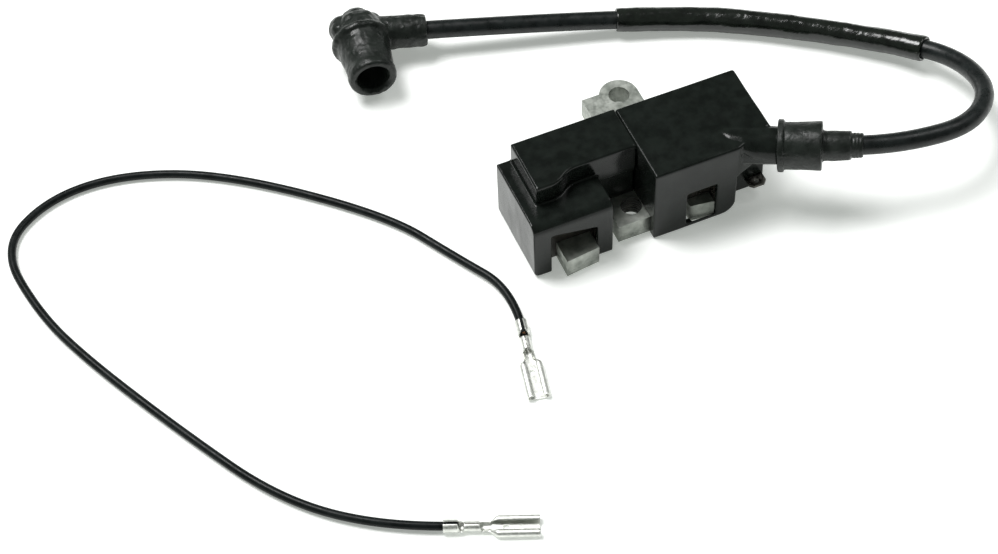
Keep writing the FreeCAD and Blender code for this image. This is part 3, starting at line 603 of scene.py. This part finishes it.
def add_core():
    """The stack, each sheet a little out of line, with painted shade inside the front bolt hole: its
    walls get a near-black metal.
    """
    thick = CORE_TOP / SHEETS
    sheets = []
    for number in range(SHEETS):
        low = number * thick
        shift = 0.045 * noise.noise(Vector((number * 1.7, 3.1, 0.5)))
        drift = 0.03 * noise.noise(Vector((number * 2.3, 8.1, 4.5)))
        outlines = [[(x + shift, y + drift) for x, y in outline]
                    for outline in core_outlines(low + thick / 2 > RELIEF_TOP)]
        sheets.append(plate(f"sheet_{number}", outlines, low + SHEET_GAP, low + thick - SHEET_GAP,
                            SHEET_BURR))
    core = finish_piece(joined("core_sheets", *sheets), "coil", "lamination_steel", "core_laminations")
    core.data.materials.append(SHADE_PAINTED_BORE)
    # painted shade: the walls of the front bolt hole get the near-black bore metal
    for face in core.data.polygons:
        if face.center.xy.length < (BOLT_RADIUS + 0.1) * MM and abs(face.normal.z) < 0.5:
            face.material_index = 1
    return core


add_core()

# ---------------------------------------------------------------- moulded blocks

HOUSING_VOXEL, HOUSING_ROUNDS = 0.22, 8


def sunk(place):
    """Shallow sink and flow marks of the moulded faces, in millimetres."""
    flow = noise.noise(Vector((place.x * 0.09, place.y * 0.15, place.z * 0.1)))
    ripple = noise.noise(Vector((place.x * 0.35, place.y * 0.3, place.z * 0.3 + 7)))
    return 0.07 * flow + 0.02 * ripple


ROOT = [  # distance from the tower's middle, shift to the front, half width, half height, crest height
    (-10.2, 0.4, 0.4, 0.4, 24.2), (-9.4, 0.6, 1.5, 0.8, 24.6), (-7.5, 1.0, 2.7, 1.3, 24.85),
    (-4.0, 1.3, 3.8, 2.2, 24.98), (-1.0, 0.8, 4.6, 3.6, 24.95), (2.0, 0.2, 4.85, 4.6, 24.88),
    (4.9, 0.0, 4.85, 4.85, 24.8),
]


def tower_root():
    """The lead's tower where it runs into the block: its upper side swells through the top face."""
    heading = Vector((math.cos(TOWER_HEADING), math.sin(TOWER_HEADING), 0))
    ahead = Vector((heading.y, -heading.x, 0))
    count, between_stations = 64, 6
    stations = []
    for first, second in zip(ROOT, ROOT[1:]):
        for i in range(between_stations):
            t = i / between_stations
            stations.append([a + (b - a) * t for a, b in zip(first, second)])
    stations.append(ROOT[-1])
    vertices, faces = [], []
    for distance, shift, wide, high, crest in stations:
        middle = Vector((TOWER.x, TOWER.y, crest - high)) + heading * distance + ahead * shift
        for i in range(count):
            a = math.tau * i / count
            rise = Vector((0, 0, high * math.sin(a)))
            vertices.append((middle + ahead * wide * math.cos(a) + rise) * MM)
    for row in range(len(stations) - 1):
        for i in range(count):
            j = (i + 1) % count
            faces.append((row * count + i, row * count + j,
                          (row + 1) * count + j, (row + 1) * count + i))
    faces.append(tuple(range(count)))
    faces.append(tuple(range((len(stations) - 1) * count, len(stations) * count)))
    return outward(mesh_object("tower_root", vertices, faces))


def add_housings():
    right = joined("transformer_block", copy_of("transformer_housing", "block"), tower_root())
    right = softened(right, HOUSING_VOXEL, HOUSING_ROUNDS)
    moved_out(right, sunk)
    finish_piece(right, "coil", "black_moulding", "transformer_housing")
    left = softened(copy_of("control_housing", "control_block"), HOUSING_VOXEL, HOUSING_ROUNDS)
    moved_out(left, sunk)
    finish_piece(left, "coil", "black_moulding", "control_housing")


add_housings()

# ---------------------------------------------------------------- grommet

GROMMET = [
    (4.95, 2.56), (4.95, 6.5), (5.1, 6.75), (6.25, 6.75), (6.5, 6.55), (6.65, 6.05), (8.4, 6.05),
    (11.0, 6.1), (14.0, 6.2), (15.3, 6.32), (15.85, 6.32), (16.05, 6.1), (16.1, 5.0), (16.15, 4.2),
    (16.4, 3.95), (17.2, 3.82), (18.3, 3.85), (21.5, 3.8), (22.8, 3.75), (23.25, 3.6), (23.35, 3.2),
    (23.7, 3.12), (24.1, 3.3), (24.5, 3.1), (24.9, 3.28), (25.3, 3.05), (25.7, 3.2), (26.1, 3.1),
    (26.3, 2.85), (26.3, 2.56),
]
GROMMET_VOXEL, GROMMET_ROUNDS = 0.15, 2


def follow_lead(obj):
    """Bend the soft tail so that the lead stays in its middle as it starts to turn."""
    line = [(point - TOWER * MM).dot(TOWER_AXIS) for point in HT_LINE]
    for vertex in obj.data.vertices:
        along = (vertex.co - TOWER * MM).dot(TOWER_AXIS)
        after = next(i for i, distance in enumerate(line) if distance >= along)
        if after:
            share = (along - line[after - 1]) / (line[after] - line[after - 1])
            middle = HT_LINE[after - 1].lerp(HT_LINE[after], share)
            vertex.co += middle - (TOWER * MM + TOWER_AXIS * along)
    return obj


def add_grommet():
    """Rubber sleeve with a flange and a ringed tail, slightly uneven."""
    body = lathed("grommet", GROMMET, TOWER * MM, TOWER_AXIS)
    body = follow_lead(softened(body, GROMMET_VOXEL, GROMMET_ROUNDS))
    moved_out(body, lambda p: 0.08 * noise.noise(p * 0.35) + 0.03 * noise.noise(p * 1.3))
    return finish_piece(body, "coil", "black_rubber", "lead_grommet")


grommet = add_grommet()

# ---------------------------------------------------------------- plug boot


BOOT_END = Vector(HT_ROUTE[-1])
BOOT_AXIS = (BOOT_END - Vector(HT_ROUTE[-2])).normalized()
SOCKET_AXIS = Vector((-0.14, -0.99, 0)).normalized()
ELBOW_OFFSET = 4.0
ELBOW = BOOT_END + BOOT_AXIS * ELBOW_OFFSET
BOOT_VOXEL, BOOT_ROUNDS = 0.2, 7
SOCKET = [
    (-5.4, 0), (-5.3, 2.6), (-4.6, 4.7), (-3.2, 6.1), (-1.4, 6.9), (0.6, 7.4), (2.0, 7.7), (2.6, 8.2),
    (3.3, 8.35), (4.0, 8.1), (4.6, 7.4), (5.6, 7.15), (8.0, 6.85), (10.5, 6.6), (13.4, 6.4),
    (14.2, 6.45), (15.2, 6.6), (16.2, 6.55), (16.8, 6.3), (17.0, 5.9), (17.0, 0),
]
BARREL = [
    (-14.2, 0), (-14.2, 3.9), (-13.9, 4.3), (-13.2, 4.5), (-12.0, 4.55), (-11.4, 4.45), (-6.0, 4.55),
    (-2.0, 4.7), (1.0, 4.8), (4.0, 5.2), (5.2, 4.2), (5.6, 2.0), (5.7, 0),
]
LEAD_BORE = [(-15.5, 0), (-15.5, 3.6), (-14.2, 2.9), (-13.7, 2.56), (0.2, 2.56), (0.2, 0)]
SOCKET_BORE = [
    (3.5, 0), (3.5, 3.7), (7.7, 3.7), (7.9, 4.25), (15.8, 4.25), (16.5, 4.5), (17.05, 5.2),
    (17.8, 6.2), (17.8, 0),
]
PIN_BORE = [(0, 0), (0, 0.82), (5.4, 0.82), (5.4, 0)]
KNOBS = [
    ((0.0, -2.6, 1.2), 4.7), ((-4.0, -1.8, 1.4), 3.9), ((3.6, -1.6, 0.9), 3.6), ((-0.4, -4.6, 2.2), 2.5),
    ((-5.0, -0.2, 2.8), 2.6), ((-1.8, -0.8, 4.4), 2.7), ((2.2, -1.2, 4.2), 2.4),
]
LOWEST = 0.02


def ball(place, radius):
    steps = 24
    profile = [(-radius * math.cos(math.pi * i / steps), radius * math.sin(math.pi * i / steps))
               for i in range(steps + 1)]
    return lathed("ball", profile, place * MM, Vector((0, 0, 1)), 48)


def bored(obj, *tools):
    for tool in tools:
        cut = obj.modifiers.new("bore", "BOOLEAN")
        cut.object, cut.operation, cut.solver = tool, "DIFFERENCE", "EXACT"
    applied(obj)
    for tool in tools:
        bpy.data.objects.remove(tool)
    return obj


def add_boot():
    """Rubber elbow: barrel, tapered socket with a thick mouth, and the bumpy corner between.

    It is flat where it lies on the table."""
    side = SOCKET_AXIS.cross(Vector((0, 0, 1)))
    knobs = [ball(ELBOW - side * x + SOCKET_AXIS * y + Vector((0, 0, z)), r) for (x, y, z), r in KNOBS]
    form = joined("boot_rubber", lathed("socket", SOCKET, ELBOW * MM, SOCKET_AXIS),
                  lathed("barrel", BARREL, BOOT_END * MM, BOOT_AXIS), *knobs)
    boot = softened(form, BOOT_VOXEL, BOOT_ROUNDS)
    moved_out(boot, lambda p: 0.16 * noise.noise(p * 0.3) + 0.09 * noise.noise(p * 0.9))
    for vertex in boot.data.vertices:
        vertex.co.z = max(vertex.co.z, LOWEST * MM)
    bored(boot, lathed("lead_bore", LEAD_BORE, BOOT_END * MM, BOOT_AXIS),
          lathed("socket_bore", SOCKET_BORE, ELBOW * MM, SOCKET_AXIS),
          lathed("pin_bore", PIN_BORE, ELBOW * MM, SOCKET_AXIS),
          lathed("pin_bore", [(d - 0.5, r) for d, r in PIN_BORE], BOOT_END * MM, BOOT_AXIS))
    return finish_piece(smooth(boot), "plug_boot", "black_rubber", "plug_boot")


boot = add_boot()

# ---------------------------------------------------------------- receptacles and stop terminal


def wrapped(radius, lift, turn, count, half_width):
    """Half a strip wrapped round a circle: flat out to half_width, then up and inward."""
    points, centre = [], radius + lift
    flat = max(half_width - radius, 0.0)
    length = flat + math.radians(turn) * radius
    for i in range(count + 1):
        s = length * i / count
        if s <= flat:
            points.append((s, lift))
        else:
            a = (s - flat) / radius
            points.append((flat + radius * math.sin(a), centre - radius * math.cos(a)))
    return points


def receptacle(name, place, toward):
    """A stamped push-on receptacle: two crimps, a neck, and a flat body with rolled edges."""
    count, step, sheet_thick, sheet_edge = 22, 0.3, 0.3, 0.07
    hole_place, hole_radius, floor_lift = 11.4, 0.8, 0.16
    sections = {
        "grip": wrapped(1.42, 0.12, 164, count, 1.42),
        "throat": wrapped(1.5, 0.1, 70, count, 1.5),
        "crimp": wrapped(1.05, 0.2, 172, count, 1.05),
        "neck": wrapped(1.5, 0.12, 62, count, 1.5),
        "body": wrapped(0.85, floor_lift, 225, count, 2.75),
    }
    stations = [(-3.5, "grip"), (-0.2, "grip"), (0.5, "throat"), (1.1, "throat"), (1.5, "crimp"),
                (5.0, "crimp"), (5.6, "neck"), (7.0, "neck"), (9.6, "body"), (19.3, "body")]
    turn = Matrix.Rotation(math.atan2(toward[1], toward[0]), 4, "Z")
    rows = []
    for (x, kind), (next_x, next_kind) in zip(stations, stations[1:]):
        steps = max(2, round((next_x - x) / step))
        for i in range(steps):
            t = i / steps
            t2 = t * t * (3 - 2 * t)
            rows.append((x + (next_x - x) * t, [
                (a[0] + (b[0] - a[0]) * t2, a[1] + (b[1] - a[1]) * t2)
                for a, b in zip(sections[kind], sections[next_kind])]))
    rows.append((stations[-1][0], sections[stations[-1][1]]))
    vertices, faces, across_count = [], [], 2 * count + 1
    for x, half in rows:
        line = [(-y, z) for y, z in reversed(half[1:])] + list(half)
        for y, z in line:
            vertices.append(turn @ mm(x, y, z) + mm(place[0], place[1], 0))
    for row in range(len(rows) - 1):
        for i in range(across_count - 1):
            a = row * across_count + i
            faces.append((a, a + 1, a + across_count + 1, a + across_count))
    sheet = outward(mesh_object(name, vertices, faces))
    thick = sheet.modifiers.new("thickness", "SOLIDIFY")
    thick.thickness, thick.offset = sheet_thick * MM, 0
    hole = lathed("catch_hole", [(-1, 0), (-1, hole_radius), (1, hole_radius), (1, 0)],
                  turn @ mm(hole_place, 0, floor_lift) + mm(place[0], place[1], 0),
                  Vector((0, 0, 1)), 32)
    bored(sheet, hole)
    edge = sheet.modifiers.new("edge", "BEVEL")
    edge.width, edge.segments, edge.limit_method = sheet_edge * MM, 2, "ANGLE"
    return smooth(applied(sheet))


def direction(points, end, before):
    """Heading in plan from one point of a route to another."""
    step = Vector(points[end]) - Vector(points[before])
    return step.x, step.y


near = receptacle("receptacle_near", STOP_ROUTE[-1], direction(STOP_ROUTE, -1, -2))
finish_piece(near, "stop_lead", "tin_plate", "stop_receptacle_near")
far = receptacle("receptacle_far", STOP_ROUTE[0], direction(STOP_ROUTE, 0, 1))
finish_piece(far, "stop_lead", "tin_plate", "stop_receptacle_far")


def add_terminal():
    tab = copy_of("stop_terminal", "terminal_tab")
    edge = tab.modifiers.new("edge", "BEVEL")
    edge.width, edge.segments, edge.limit_method = 0.12 * MM, 3, "ANGLE"
    return finish_piece(smooth(applied(tab)), "coil", "plated_steel", "stop_terminal", finish=DARKENED_TAB_STEEL)


add_terminal()

# ---------------------------------------------------------------- floor and light


def add_floor():
    """A wide pale sheet just under the part."""
    size, level = 3.0, -0.0002
    corners = ((-size, -size), (size, -size), (size, size), (-size, size))
    floor = mesh_object("floor", [Vector((x, y, level)) for x, y in corners], [(0, 1, 2, 3)])
    floor.data.materials.append(pale_floor())


def add_light(name, place, target, width, height, power):
    data = bpy.data.lights.new(name, "AREA")
    data.shape, data.size, data.size_y, data.energy = "RECTANGLE", width, height, power
    light = bpy.data.objects.new(name, data)
    scene.collection.objects.link(light)
    light.location = place
    light.rotation_mode = "QUATERNION"
    light.rotation_quaternion = (Vector(target) - Vector(place)).to_track_quat("-Z", "Y")


WORLD_COLOUR, WORLD_STRENGTH = (0.90, 1.0, 0.92), 0.15


def add_world():
    world = bpy.data.worlds.new("studio")
    scene.world = world
    world.use_nodes = True
    background = world.node_tree.nodes["Background"]
    background.inputs["Color"].default_value = (*WORLD_COLOUR, 1)
    background.inputs["Strength"].default_value = WORLD_STRENGTH


add_floor()
add_world()
add_light("key", (-0.45, 0.55, 1.45), (0, 0.02, 0), 0.75, 0.75, 27)
add_light("fill", (0.9, 0.1, 1.2), (0, 0, 0), 0.6, 0.6, 3.5)
scene.view_settings.view_transform = "Standard"
